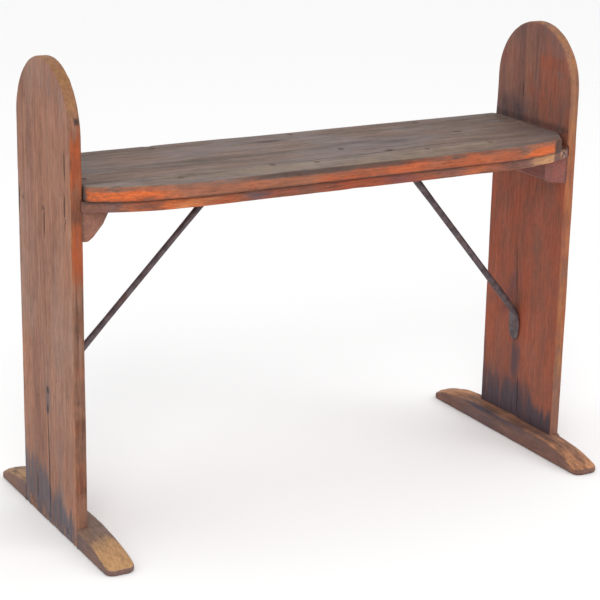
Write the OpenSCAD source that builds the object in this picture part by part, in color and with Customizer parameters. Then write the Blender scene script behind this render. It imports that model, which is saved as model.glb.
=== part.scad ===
// Plank bench with round-topped end boards, runner feet and two iron rod braces.
// X runs along the bench, +Y towards its straight back edge, +Z up from the floor.
// The origin is on the floor, midway between the end boards and midway along the feet.

/* [End boards] */
// Height of the end boards above the floor
board_h = 620; // [560:5:700]
// Width of each end board, also the diameter of its round top
board_w = 177; // [160:1:200]
// Thickness of each end board
board_t = 16; // [14:0.5:22]
// Clear distance between the two end boards
span = 732; // [640:2:900]
// Depth of the groove that holds the end of the lower seat board
groove_depth = 3; // [1:0.5:5]

/* [Seat] */
// Height of the seat's top face above the floor
seat_h = 475; // [430:1:520]
// Thickness of the upper seat board
top_t = 19; // [16:0.5:25]
// Thickness of the lower seat board
under_t = 14; // [12:0.5:20]
// Distance from the centre line to the straight back edge
seat_back = 88; // [80:1:110]
// Distance from the centre line to the upper board's front edge, at mid length
top_front = 130; // [115:1:150]
// How far the lower board's front edge lies behind the upper one's
under_setback = 6; // [0:1:12]
// How far the front edge curves back at each end
front_drop = 34; // [20:1:45]
// Half length of the straight middle of the front edge
front_flat = 230; // [150:5:260]
// Rounding of the upper board's left front corner
left_corner_r = 16; // [8:1:20]
// Rounding of the upper board's right front corner
right_corner_r = 34; // [8:1:36]
// Rounding of the upper board's back corners
back_corner_r = 10; // [4:1:20]
// Gap between the upper board's ends and the end boards
end_gap = 1; // [0.5:0.5:3]

/* [Cleats] */
// Height of the cleats under the seat
cleat_h = 36; // [28:1:45]
// Width of the cleats where they meet the seat
cleat_w = 35; // [30:1:45]

/* [Feet] */
// Length of each foot
foot_l = 372; // [320:2:420]
// Width of each foot
foot_w = 40; // [32:1:50]
// Height of each foot at its middle
foot_h = 27; // [22:1:34]
// How far the top of a foot falls towards each nose
nose_drop = 17; // [8:1:20]
// Length of the falling part
nose_run = 90; // [60:2:94]
// Rounding of the noses in plan
nose_r = 12; // [6:1:16]

/* [Braces] */
// Diameter of the iron rods
rod_d = 8; // [6:0.5:10]
// Length of each rod between its two bends
rod_l = 322.5; // [300:0.5:345]
// Height of the left brace's lower bend
left_bend_z = 207.5; // [180:0.5:230]
// Height of the right brace's lower bend
right_bend_z = 190.5; // [180:0.5:230]
// Sideways place of the left brace
left_brace_y = 0; // [-20:1:20]
// Sideways place of the right brace
right_brace_y = 10; // [-20:1:20]
// Width of the flattened ends
leaf_w = 24; // [20:1:28]
// Length of the flattened ends
leaf_l = 48; // [44:1:56]
// Thickness of the flattened ends
leaf_t = 3.5; // [3:0.5:4]
// Diameter of the forged swelling at each bend
bend_d = 9; // [8.5:0.5:11]

/* [Fasteners] */
// Diameter of the nails
nail_d = 3.2; // [2.5:0.1:4]
// Diameter of the nail heads
nail_head_d = 7; // [6:0.5:8]
// Diameter of the rivets through the lower ends of the braces
rivet_d = 6; // [5:0.5:7]
// Diameter of the screws through the upper ends of the braces
screw_d = 5; // [4:0.5:6]

/* [Hidden] */
$fn = 64;
nudge = 1;          // overshoot of cutting shapes
clearance = 0.1;    // hole radius over shank radius

face_x = span / 2;                       // inner face of an end board
outer_x = face_x + board_t;              // its outer face
arch_z = board_h - board_w / 2;          // centre of the round top
under_top_z = seat_h - top_t;            // joint between the seat boards
under_z = under_top_z - under_t;         // underside of the seat
cleat_z = under_z - cleat_h;             // underside of the cleats
top_ease = 6;                            // rounding along the upper edges of the feet
sole_ease = 3;                           // rounding under their noses

nail_head_t = 1.4;
seat_nail_l = 29;
cleat_seat_nail_l = 50;
cleat_nail_l = 40;
foot_nail_l = 32;
top_nail_points = [[-237, -94], [-99, -80], [-39, -88], [30, -33], [84, -68], [135, -82],
                   [236, -84], [-200, 70], [12, 74], [215, 70]];
seat_nail_ys = [-52, -1, 54];            // down through both boards into a cleat
seat_nail_x = face_x - 16;
cleat_nail_ys = [-68, 6, 72];            // through an end board into its cleat
cleat_nail_z = under_z - 14;
foot_nail_ys = [-60, 0, 60];             // through the foot of an end board
foot_nail_z = 13;

leaf_offset = 21;                        // from a bend to the middle of its leaf
rivet_head_d = 12;
rivet_head_h = 4;
rivet_tail_d = 10;                       // the hammered end, flush with the outer face
rivet_tail_t = 2;
screw_l = 11;
screw_head_d = 10;
screw_head_h = 3;

wood_red = "#8a4a38";
wood_grey = "#7c6d66";
wood_brown = "#8f6a50";
wood_orange = "#a8603f";
iron_dark = "#4a4045";

// ---- shared shapes ----

// What a rounding of radius r removes from a square corner at the origin, inside +X +Y
module corner_waste(r) {
    difference() {
        translate([-nudge, -nudge])
            square(r + nudge);
        translate([r, r])
            circle(r);
    }
}

// A nail driven towards -Z, its head's top at the origin
module nail(length) {
    translate([0, 0, -nail_head_t])
        cylinder(h = nail_head_t, d = nail_head_d);
    translate([0, 0, -length])
        cylinder(h = length - nail_head_t / 2, d = nail_d);
    translate([0, 0, -length - nail_d])
        cylinder(h = nail_d, d1 = 0.4, d2 = nail_d);
}

// The hole that a nail leaves in the boards it goes through
module nail_hole(length) {
    translate([0, 0, -nail_head_t - clearance])
        cylinder(h = nail_head_t + clearance + nudge, d = nail_head_d + 2 * clearance);
    translate([0, 0, -length - nail_d - clearance])
        cylinder(h = length + nail_d, d = nail_d + 2 * clearance);
}

// ---- seat ----

// Half outline of a seat board at x >= 0, its front edge straight and then one arc
module seat_half(front, half_l) {
    run = half_l - front_flat;
    arc_r = (run * run + front_drop * front_drop) / (2 * front_drop);
    translate([0, -front])
        square([front_flat, front + seat_back]);
    intersection() {
        translate([front_flat - nudge, -front])
            square([run + nudge, front + seat_back]);
        translate([front_flat, arc_r - front])
            circle(arc_r, $fn = 160);
    }
}

// What a front corner of the upper board loses when it is rounded with radius r
module front_corner_waste(front, half_l, r) {
    run = half_l - front_flat;
    arc_r = (run * run + front_drop * front_drop) / (2 * front_drop);
    dx = run - r;
    dy = sqrt(pow(arc_r - r, 2) - dx * dx);
    reach = 3 * r;
    translate([half_l - r, arc_r - front - dy])
        difference() {
            polygon([
                [0, 0],
                reach * [dx, -dy] / (arc_r - r),
                reach * [1, -1],
                [reach, 0]
            ]);
            circle(r);
        }
}

module top_outline() {
    half_l = face_x - end_gap;
    for (side = [0, 1])
        mirror([side, 0])
            difference() {
                seat_half(top_front, half_l);
                front_corner_waste(top_front, half_l, side == 0 ? right_corner_r : left_corner_r);
                translate([half_l, seat_back])
                    rotate(180)
                        corner_waste(back_corner_r);
            }
}

module top_board() {
    color(wood_grey)
        difference() {
            translate([0, 0, under_top_z])
                linear_extrude(top_t)
                    top_outline();
            top_nail_holes();
            for (side = [-1, 1])
                seat_nail_holes(side);
        }
}

module under_board() {
    half_l = face_x + groove_depth;
    color(wood_orange)
        difference() {
            translate([0, 0, under_z])
                linear_extrude(under_t)
                    for (side = [0, 1])
                        mirror([side, 0])
                            seat_half(top_front - under_setback, half_l);
            top_nail_holes();
            for (side = [-1, 1]) {
                seat_nail_holes(side);
                screw_hole(side);
            }
        }
}

// ---- end boards and cleats ----

// Puts a shape made for the right-hand end (side = 1) at either end
module at_end(side) {
    mirror([side < 0 ? 1 : 0, 0, 0])
        children();
}

module end_board(side) {
    color(wood_red)
        difference() {
            at_end(side)
                translate([face_x, 0, 0])
                    rotate([90, 0, 90])
                        linear_extrude(board_t) {
                            translate([-board_w / 2, 0])
                                square([board_w, arch_z]);
                            translate([0, arch_z])
                                circle(d = board_w, $fn = 96);
                        }
            at_end(side)
                translate([face_x - nudge, -board_w, under_z])
                    cube([groove_depth + nudge, 2 * board_w, under_t]);
            cleat_nail_holes(side);
            foot_nail_holes(side);
            rivet_hole(side);
        }
}

// End outlines of the cleats, from the corner between the seat and the end board:
// the left one's lower inner arris is bevelled away, the right one's is only eased
function cleat_profile(side) = side < 0
    ? [[0, 0], [-0.94 * cleat_w, 0], [-0.94 * cleat_w, -0.04 * cleat_h],
       [-0.72 * cleat_w, -0.45 * cleat_h], [-0.34 * cleat_w, -0.88 * cleat_h],
       [-0.16 * cleat_w, -cleat_h], [0, -cleat_h]]
    : [[0, 0], [-cleat_w, 0], [-cleat_w, -0.78 * cleat_h], [-0.9 * cleat_w, -0.86 * cleat_h],
       [0, -cleat_h]];

module cleat(side) {
    color(wood_brown)
        difference() {
            at_end(side)
                translate([face_x, seat_back, under_z])
                    rotate([90, 0, 0])
                        linear_extrude(board_w / 2 + seat_back)
                            polygon(cleat_profile(side));
            seat_nail_holes(side);
            cleat_nail_holes(side);
        }
}

// ---- feet ----

// Side outline in Y and Z, curving down to a blunt nose at each end
module foot_side() {
    half_l = foot_l / 2;
    flat = half_l - nose_run;
    arc_r = (nose_run * nose_run + nose_drop * nose_drop) / (2 * nose_drop);
    for (end = [0, 1])
        mirror([end, 0])
            difference() {
                union() {
                    square([flat, foot_h]);
                    intersection() {
                        translate([flat - nudge, 0])
                            square([nose_run + nudge, foot_h]);
                        translate([flat, foot_h - arc_r])
                            circle(arc_r, $fn = 128);
                    }
                }
                translate([half_l, 0])
                    mirror([1, 0])
                        corner_waste(sole_ease);
            }
}

// Plan outline
module foot_plan() {
    difference() {
        translate([outer_x - foot_w, -foot_l / 2])
            square([foot_w, foot_l]);
        for (end = [0, 1])
            mirror([0, end]) {
                translate([outer_x - foot_w, -foot_l / 2])
                    corner_waste(nose_r);
                translate([outer_x, -foot_l / 2])
                    mirror([1, 0])
                        corner_waste(nose_r);
            }
    }
}

// Cross section in X and Z
module foot_section() {
    difference() {
        square([foot_w, foot_h]);
        translate([0, foot_h])
            mirror([0, 1])
                corner_waste(top_ease);
        translate([foot_w, foot_h])
            rotate(180)
                corner_waste(top_ease);
    }
}

module foot(side) {
    color(wood_brown)
        difference() {
            at_end(side)
                difference() {
                    intersection() {
                        linear_extrude(foot_h)
                            foot_plan();
                        translate([outer_x - foot_w - nudge, 0, 0])
                            rotate([90, 0, 90])
                                linear_extrude(foot_w + 2 * nudge)
                                    foot_side();
                        translate([outer_x - foot_w, foot_l / 2 + nudge, 0])
                            rotate([90, 0, 0])
                                linear_extrude(foot_l + 2 * nudge)
                                    foot_section();
                    }
                    translate([face_x, -board_w / 2, -nudge])
                        cube([board_t + nudge, board_w, foot_h + 2 * nudge]);
                }
            foot_nail_holes(side);
        }
}

// ---- braces ----

function bend_z(side) = side < 0 ? left_bend_z : right_bend_z;
function brace_y(side) = side < 0 ? left_brace_y : right_brace_y;
function rod_rise(side) = under_z - bend_d / 2 - bend_z(side);
function rod_run(side) = sqrt(rod_l * rod_l - pow(rod_rise(side), 2));
function upper_bend_x(side) = face_x - bend_d / 2 - rod_run(side);

// A leaf about the origin: two arcs that meet in a point at each end
module leaf_outline() {
    half_l = leaf_l / 2;
    half_w = leaf_w / 2;
    arc_r = (half_l * half_l + half_w * half_w) / (2 * half_w);
    intersection() {
        translate([0, arc_r - half_w])
            circle(arc_r, $fn = 96);
        translate([0, half_w - arc_r])
            circle(arc_r, $fn = 96);
    }
}

module brace(side) {
    lower = [face_x - bend_d / 2, brace_y(side), bend_z(side)];
    upper = [upper_bend_x(side), brace_y(side), under_z - bend_d / 2];
    color(iron_dark)
        difference() {
            at_end(side) {
                translate(upper)
                    rotate([0, atan2(rod_run(side), -rod_rise(side)), 0])
                        cylinder(h = rod_l, d = rod_d);
                for (bend = [lower, upper])
                    translate(bend)
                        sphere(d = bend_d);
                translate([face_x, brace_y(side), bend_z(side) - leaf_offset])
                    rotate([0, 90, 180])
                        linear_extrude(leaf_t)
                            leaf_outline();
                translate([upper_bend_x(side) - leaf_offset, brace_y(side), under_z - leaf_t])
                    linear_extrude(leaf_t)
                        leaf_outline();
            }
            rivet_hole(side);
            screw_hole(side);
        }
}

// Where the rivet's axis meets the board's inner face, and the screw's the seat's underside
module at_rivet(side) {
    at_end(side)
        translate([face_x, brace_y(side), bend_z(side) - leaf_offset])
            rotate([0, 90, 0])
                children();
}

module at_screw(side) {
    at_end(side)
        translate([upper_bend_x(side) - leaf_offset, brace_y(side), under_z])
            children();
}

module rivet_hole(side) {
    at_rivet(side) {
        translate([0, 0, -2 * leaf_t])
            cylinder(h = board_t + 3 * leaf_t, d = rivet_d + 2 * clearance);
        translate([0, 0, board_t - rivet_tail_t - clearance])
            cylinder(h = rivet_tail_t + nudge, d = rivet_tail_d + 2 * clearance);
    }
}

module brace_rivet(side) {
    color(iron_dark)
        at_rivet(side) {
            translate([0, 0, -leaf_t])
                cylinder(h = leaf_t + board_t, d = rivet_d);
            translate([0, 0, board_t - rivet_tail_t])
                cylinder(h = rivet_tail_t, d = rivet_tail_d);
            translate([0, 0, -leaf_t])
                dome(rivet_head_d, rivet_head_h);
        }
}

// A domed head below the origin
module dome(d, h) {
    r = (d * d / 4 + h * h) / (2 * h);
    intersection() {
        translate([0, 0, r - h])
            sphere(r);
        translate([0, 0, -h])
            cylinder(h = h, d = d);
    }
}

module screw_hole(side) {
    at_screw(side)
        translate([0, 0, -2 * leaf_t])
            cylinder(h = 2 * leaf_t + screw_l + clearance, d = screw_d + 2 * clearance);
}

module brace_screw(side) {
    color(iron_dark)
        at_screw(side) {
            translate([0, 0, -leaf_t])
                cylinder(h = leaf_t + screw_l, d = screw_d);
            translate([0, 0, -leaf_t])
                dome(screw_head_d, screw_head_h);
        }
}

// ---- nails ----

module at_top_nails() {
    for (point = top_nail_points)
        translate([point[0], point[1], seat_h])
            children();
}

module top_nail_holes() {
    at_top_nails()
        nail_hole(seat_nail_l - nail_d);
}

module top_board_nails() {
    color(iron_dark)
        at_top_nails()
            nail(seat_nail_l - nail_d);
}

module at_seat_nails(side) {
    at_end(side)
        for (y = seat_nail_ys)
            translate([seat_nail_x, y, seat_h])
                children();
}

module seat_nail_holes(side) {
    at_seat_nails(side)
        nail_hole(cleat_seat_nail_l);
}

module seat_nails(side) {
    color(iron_dark)
        at_seat_nails(side)
            nail(cleat_seat_nail_l);
}

// Nails driven inwards from an end board's outer face
module at_end_nails(side, ys, z) {
    at_end(side)
        for (y = ys)
            translate([outer_x, y, z])
                rotate([0, 90, 0])
                    children();
}

module cleat_nail_holes(side) {
    at_end_nails(side, cleat_nail_ys, cleat_nail_z)
        nail_hole(cleat_nail_l - nail_d);
}

module cleat_nails(side) {
    color(iron_dark)
        at_end_nails(side, cleat_nail_ys, cleat_nail_z)
            nail(cleat_nail_l - nail_d);
}

module foot_nail_holes(side) {
    at_end_nails(side, foot_nail_ys, foot_nail_z)
        nail_hole(foot_nail_l - nail_d);
}

module foot_nails(side) {
    color(iron_dark)
        at_end_nails(side, foot_nail_ys, foot_nail_z)
            nail(foot_nail_l - nail_d);
}

end_board(-1);  // left_end_board
end_board(1);  // right_end_board
foot(-1);  // left_foot
foot(1);  // right_foot
top_board();
under_board();
cleat(-1);  // left_cleat
cleat(1);  // right_cleat
brace(-1);  // left_brace
brace(1);  // right_brace
brace_rivet(-1);  // left_brace_rivet
brace_rivet(1);  // right_brace_rivet
brace_screw(-1);  // left_brace_screw
brace_screw(1);  // right_brace_screw
top_board_nails();
seat_nails(-1);  // left_seat_nails
seat_nails(1);  // right_seat_nails
cleat_nails(-1);  // left_cleat_nails
cleat_nails(1);  // right_cleat_nails
foot_nails(-1);  // left_foot_nails
foot_nails(1);  // right_foot_nails
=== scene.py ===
"""Looks for an old plank bench: worn painted boards, runner feet and two forged iron braces.

Shapes are worked out in millimetres, in the CAD's frame, and turned into metres in make_piece().
"""

import math

import bmesh
import bpy
import numpy as np
from mathutils import Matrix, Vector, geometry


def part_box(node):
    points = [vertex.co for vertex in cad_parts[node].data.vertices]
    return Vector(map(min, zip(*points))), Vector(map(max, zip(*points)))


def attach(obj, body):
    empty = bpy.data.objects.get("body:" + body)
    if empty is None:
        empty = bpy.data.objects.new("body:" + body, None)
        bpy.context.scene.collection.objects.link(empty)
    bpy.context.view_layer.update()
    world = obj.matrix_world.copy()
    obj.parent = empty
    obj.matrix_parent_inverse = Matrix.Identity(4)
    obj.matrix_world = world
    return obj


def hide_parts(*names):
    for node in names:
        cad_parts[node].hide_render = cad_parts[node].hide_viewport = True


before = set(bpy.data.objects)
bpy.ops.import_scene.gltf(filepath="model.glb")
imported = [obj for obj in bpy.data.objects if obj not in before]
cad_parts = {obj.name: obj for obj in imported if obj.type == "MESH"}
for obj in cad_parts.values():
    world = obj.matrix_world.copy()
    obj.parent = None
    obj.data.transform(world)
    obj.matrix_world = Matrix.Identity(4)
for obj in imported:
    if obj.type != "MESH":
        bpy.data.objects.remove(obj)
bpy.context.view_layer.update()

MM = 0.001
X, Y, Z = 0, 1, 2
LEFT, RIGHT = -1, 1
SIDE_NAMES = {LEFT: "left", RIGHT: "right"}
HEAD_R = 3.5  # a CAD nail head's radius, by which a row of nails' box passes its end nails
LEAF_THICK = 3.4  # a brace's hammered ends


def node_box(node):
    """A CAD node's lowest and highest corners in millimetres."""
    low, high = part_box(node)
    return np.array(low) / MM, np.array(high) / MM


def node_middle(node):
    """The middle of a CAD node's box."""
    low, high = node_box(node)
    return (low + high) / 2


def reach_x(node):
    """How far a node's nearer and farther faces are from the bench's middle, along X."""
    low, high = node_box(node)
    return sorted((abs(low[0]), abs(high[0])))


# ---- noise and masks ----


def lattice(i, j, k, seed):
    """A repeatable value from -1 to 1 for each whole-numbered place."""
    n = (i * 374761393 + j * 668265263 + k * 974711 + seed * 1274126177) & 0xFFFFFFFF
    n = ((n ^ (n >> 13)) * 1274126177) & 0xFFFFFFFF
    return ((n ^ (n >> 16)) & 0xFFFFFF) / float(0x7FFFFF) - 1.0


def value_noise(p, seed):
    """Lattice values blended smoothly between whole-numbered places."""
    cell = np.floor(p).astype(np.int64)
    f = p - cell
    f = f * f * (3 - 2 * f)
    total = np.zeros(len(p))
    for corner in np.ndindex(2, 2, 2):
        weight = np.prod(np.where(corner, f, 1 - f), axis=1)
        total += weight * lattice(*(cell + corner).T, seed)
    return total


def fbm(place, size, seed, octaves=3):
    """Layered noise from about -1 to 1 at each place.

    place is an array or a tuple of columns, and the axes that it lacks are 0.
    size is the largest feature, as one number or as one for each axis.
    """
    given = np.column_stack(place if isinstance(place, tuple) else (place,))
    q = np.zeros((len(given), 3))
    q[:, : given.shape[1]] = given
    q /= np.asarray(size, float)
    total, reach = np.zeros(len(q)), 0.0
    for octave in range(octaves):
        amplitude = 0.5**octave
        total += amplitude * value_noise(q * 2**octave, seed + 17 * octave)
        reach += amplitude
    return total / reach


def smooth(a, b, x):
    """0 at a, 1 at b and smooth between. a may be the larger."""
    t = np.clip((x - a) / (b - a), 0, 1)
    return t * t * (3 - 2 * t)


def spot(u, v, centre, radii, softness=0.5):
    """1 inside an ellipse, falling to 0 outside it."""
    d = np.hypot((u - centre[0]) / radii[0], (v - centre[1]) / radii[1])
    return smooth(1 + softness, 1 - softness, d)


def band(u, centre, reach, softness):
    """1 near a place along one axis, falling to 0 on both sides of it."""
    return smooth(1 + softness, 1 - softness, np.abs(u - centre) / reach)


def most(*masks):
    """The strongest of several masks at each point."""
    return np.maximum.reduce(masks)


def marks(u, v, table, softness):
    """The strongest of several spots, from rows of centre, radii and strength."""
    return most(*(strength * spot(u, v, centre, radii, softness) for centre, radii, strength in table))


def clipped(values):
    """Values cut to between 0 and 1."""
    return np.clip(values, 0, 1)


def facing(normals, axis, sign, low=0.3, high=0.8):
    """1 where a surface faces along an axis, falling to 0 where it turns away."""
    return smooth(low, high, sign * normals[:, axis])


# ---- lines and outlines ----


def circle(count):
    """Points evenly round the unit circle."""
    turn = np.linspace(0, 2 * math.pi, count, endpoint=False)
    return np.stack([np.cos(turn), np.sin(turn)], 1)


def resample(line, step=2.5):
    """Evenly spaced points along a line, their directions and their distances along it."""
    line = np.array(line, float)
    reach = np.concatenate([[0], np.cumsum(np.hypot(*np.diff(line, axis=0).T))])
    s = np.linspace(0, reach[-1], max(4, int(reach[-1] / step)))
    points = np.stack([np.interp(s, reach, line[:, k]) for k in (0, 1)], 1)
    tangent = np.gradient(points, axis=0)
    tangent /= np.linalg.norm(tangent, axis=1)[:, None]
    return points, tangent, s


def densify(corners, step):
    """A closed line through the corners, with no gap longer than step."""
    corners = np.array(corners, float)
    out = []
    for a, b in zip(corners, np.roll(corners, -1, axis=0)):
        count = max(1, math.ceil(np.hypot(*(b - a)) / step))
        out += [a + (b - a) * i / count for i in range(count)]
    return np.array(out)


def rounded(corners, radii, segments=6):
    """The corners of a polygon replaced by arcs."""
    corners = np.array(corners, float)
    out = []
    for i, (here, radius) in enumerate(zip(corners, radii)):
        if radius <= 0:
            out.append(here)
            continue
        to_before = corners[i - 1] - here
        to_after = corners[(i + 1) % len(corners)] - here
        to_before /= np.hypot(*to_before)
        to_after /= np.hypot(*to_after)
        half = 0.5 * math.acos(np.clip(np.dot(to_before, to_after), -1, 1))
        cut = radius / math.tan(half)
        middle = to_before + to_after
        centre = here + middle / np.hypot(*middle) * radius / math.sin(half)
        start, end = (here + way * cut - centre for way in (to_before, to_after))
        turn = math.pi - 2 * half
        for t in np.linspace(0, turn, segments + 1):
            out.append(centre + (math.sin(turn - t) * start + math.sin(t) * end) / math.sin(turn))
    return np.array(out)


def outward(line):
    """Outward directions of an anticlockwise outline, lengthened at its corners."""
    ahead = np.roll(line, -1, axis=0) - line
    ahead /= np.linalg.norm(ahead, axis=1)[:, None]
    after = np.stack([ahead[:, 1], -ahead[:, 0]], 1)
    middle = np.roll(after, 1, axis=0) + after
    middle /= np.linalg.norm(middle, axis=1)[:, None]
    return middle / np.maximum(0.5, (middle * after).sum(1))[:, None]


def inside(points, line):
    """Whether each point is inside a closed line, and how far it is from it."""
    within = np.zeros(len(points), bool)
    nearest = np.full(len(points), 1e9)
    for a, b in zip(line, np.roll(line, -1, axis=0)):
        crosses = (a[1] > points[:, 1]) != (b[1] > points[:, 1])
        if a[1] != b[1]:
            x = a[0] + (points[:, 1] - a[1]) / (b[1] - a[1]) * (b[0] - a[0])
            within ^= crosses & (points[:, 0] < x)
        t = clipped(((points - a) @ (b - a)) / max(1e-9, ((b - a) ** 2).sum()))
        nearest = np.minimum(nearest, np.linalg.norm(points - a - t[:, None] * (b - a), axis=1))
    return within, nearest


# ---- splits and nail pits ----


class Crack:
    """A split that follows a line on one face, from (u, v) points."""

    def __init__(self, points, width, depth, seed, wander=0.8):
        line, tangent, s = resample(points)
        self.normal = np.stack([-tangent[:, 1], tangent[:, 0]], 1)
        self.line = line + self.normal * (wander * fbm(s, 22, seed))[:, None]
        self.taper = clipped(np.minimum(s, s[-1] - s) / (0.25 * s[-1])) ** 0.6
        self.width, self.depth = width, depth

    def rows(self):
        """Mesh points across the split."""
        across = np.array([-1, -0.45, 0, 0.45, 1]) * self.width
        return np.concatenate([self.line + self.normal * a for a in across])

    def reach(self, uv):
        """Distance to the split and its taper at the nearest point."""
        d = np.hypot(*(uv - self.line[:, None]).T)
        return d.min(1), self.taper[d.argmin(1)]

    def depth_at(self, uv):
        d, taper = self.reach(uv)
        return self.depth * taper * clipped(1 - d / self.width)

    def mask_at(self, uv, spread):
        d, taper = self.reach(uv)
        return taper * smooth(self.width + spread, 0.3 * self.width, d)


def crack_list(*rows):
    """Cracks from rows of points, width, depth and seed."""
    return [Crack(*row) for row in rows]


def crack_depth(cracks, uv):
    return sum(crack.depth_at(uv) for crack in cracks)


def crack_mask(cracks, u, v, spread=2.0):
    uv = np.column_stack([u, v])
    return most(*(crack.mask_at(uv, spread) for crack in cracks))


def pit_rings(centre):
    """Mesh points in and round a sunk nail head."""
    radii = (1.4, 2.8, 3.7, 4.4, 6.0)
    return np.concatenate([[centre]] + [np.array(centre) + r * circle(12) for r in radii])


def pit_depth(uv, centres, depth):
    """The dished holes that the sunk nail heads sit in."""
    return depth * most(*(smooth(4.7, 3.6, np.hypot(*(uv - centre).T)) for centre in centres))


# ---- carved solids and meshes ----


def quads(rows, count):
    """Faces between closed rows of count points."""
    faces = []
    for first in range(0, (rows - 1) * count, count):
        for i in range(count):
            a, b = first + i, first + (i + 1) % count
            faces.append((a, b, b + count, a + count))
    return faces


def fill_points(line, cell, extra):
    """Places inside a face: a staggered grid, and the extra points, which push the grid away."""
    low, high = line.min(0), line.max(0)
    columns = np.arange(low[0], high[0], cell)
    rows = np.arange(low[1], high[1], cell * 0.87)
    grid = np.array([(x + (0.5 * cell if r % 2 else 0), y) for r, y in enumerate(rows) for x in columns])
    within, far = inside(grid, line)
    grid = grid[within & (far > 0.55 * cell)]
    if not len(extra):
        return grid
    within, far = inside(extra, line)
    extra = extra[within & (far > 0.3)]
    keep = np.ones(len(grid), bool)
    for point in extra:
        keep &= np.abs(grid - point).max(1) >= 0.45 * cell
    return np.concatenate([grid[keep], extra])


def cap_faces(rim, middle):
    """Triangles over the rim and the points in its middle, numbered in that order."""
    count = len(rim)
    places = [Vector(p) for p in np.concatenate([rim, middle])]
    edges = [(i, (i + 1) % count) for i in range(count)]
    made = geometry.delaunay_2d_cdt(places, edges, [], 1, 1e-5)
    origin = [sources[0] if sources else None for sources in made[3]]
    faces = [[origin[v] for v in face if origin[v] is not None] for face in made[2]]
    return [face for face in faces if len(face) == 3]


def carve(outline, low, high, arris_low, arris_high, cell=3.5, wall_rows=3, extra=((), ())):
    """A solid from an outline in u and v, between heights low(uv) and high(uv), its edges rounded.

    Returns points (u, v, h), their outward directions and the faces.
    extra holds more mesh points for the low and the high face.
    """
    out = outward(outline)
    count = len(outline)
    r_low, r_high = arris_low(outline), arris_high(outline)
    z_low, z_high = low(outline), high(outline)
    rings, directions = [], []

    def ring(inset, height, level, up):
        rings.append(np.column_stack([outline - out * inset[:, None], height]))
        directions.append(np.column_stack([out * level, np.full(count, up)]))

    arc = [(math.sin(turn), math.cos(turn)) for turn in np.linspace(0, math.pi / 2, 5)]
    for level, up in arc:
        ring(r_high * (1 - level), z_high - r_high * (1 - up), level, up)
    for t in np.arange(1, wall_rows) / wall_rows:
        ring(0 * r_high, (z_high - r_high) * (1 - t) + (z_low + r_low) * t, 1, 0.0)
    for level, up in arc[::-1]:
        ring(r_low * (1 - level), z_low + r_low * (1 - up), level, -up)

    faces = quads(len(rings), count)
    last = (len(rings) - 1) * count
    for first, surface, up, more in ((0, high, 1.0, extra[1]), (last, low, -1.0, extra[0])):
        rim = rings[first // count][:, :2]
        middle = fill_points(rim, cell, np.array(more, float).reshape(-1, 2))
        base = sum(len(part) for part in rings)
        index = [*range(first, first + count), *range(base, base + len(middle))]
        faces += [tuple(index[v] for v in face) for face in cap_faces(rim, middle)]
        rings.append(np.column_stack([middle, surface(middle)]))
        directions.append(np.tile([0.0, 0.0, up], (len(middle), 1)))
    normals = np.concatenate(directions)
    normals /= np.linalg.norm(normals, axis=1)[:, None]
    return np.concatenate(rings), normals, faces


def face_outward(mesh):
    """Turns every face of a closed mesh outward."""
    shell = bmesh.new()
    shell.from_mesh(mesh)
    bmesh.ops.recalc_face_normals(shell, faces=shell.faces)
    shell.to_mesh(mesh)
    shell.free()


def add_to_scene(name, data):
    obj = bpy.data.objects.new(name, data)
    bpy.context.scene.collection.objects.link(obj)
    return obj


def make_piece(node, suffix, material, points, faces, masks=None, sharp=50):
    """A smooth-shaded piece from millimetre points, which stands for a CAD node.

    Its wear and painted-shade masks become attributes that the materials read.
    """
    mesh = bpy.data.meshes.new(node + suffix)
    mesh.from_pydata([tuple(p) for p in points * MM], [], faces)
    mesh.validate()
    face_outward(mesh)
    if masks is not None:
        masks = clipped(masks).astype(np.float32)
        worn = mesh.color_attributes.new("wear_and_shade", "FLOAT_COLOR", "POINT")
        worn.data.foreach_set("color", np.ascontiguousarray(masks[:, :4]).ravel())
        fresh = mesh.attributes.new("fresh", "FLOAT", "POINT")
        fresh.data.foreach_set("value", np.ascontiguousarray(masks[:, 4]))
    obj = add_to_scene(node + suffix, mesh)
    mesh.shade_smooth()
    mesh.set_sharp_from_angle(angle=math.radians(sharp))
    mesh.materials.append(material)
    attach(obj, "root")
    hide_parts(node)


def wear_and_shade(stain, paint, rub, dirt_and_shade, fresh=0.0):
    """The five masks of a worn piece, one column each. The fourth holds painted shade as well as grime."""
    masks = (stain, paint, rub, dirt_and_shade, fresh)
    return np.column_stack([np.broadcast_to(np.asarray(m, float), len(paint)) for m in masks])


def constant(value):
    """A surface or an arris that is the same all over."""
    return lambda uv: np.full(len(uv), float(value))


# ---- materials ----


def srgb(colour):
    """A colour given by its everyday 0-255 values, as Blender's linear one."""
    parts = [c / 255 for c in colour]
    linear = [c / 12.92 if c <= 0.04045 else ((c + 0.055) / 1.055) ** 2.4 for c in parts]
    return (*linear, 1.0)


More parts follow.
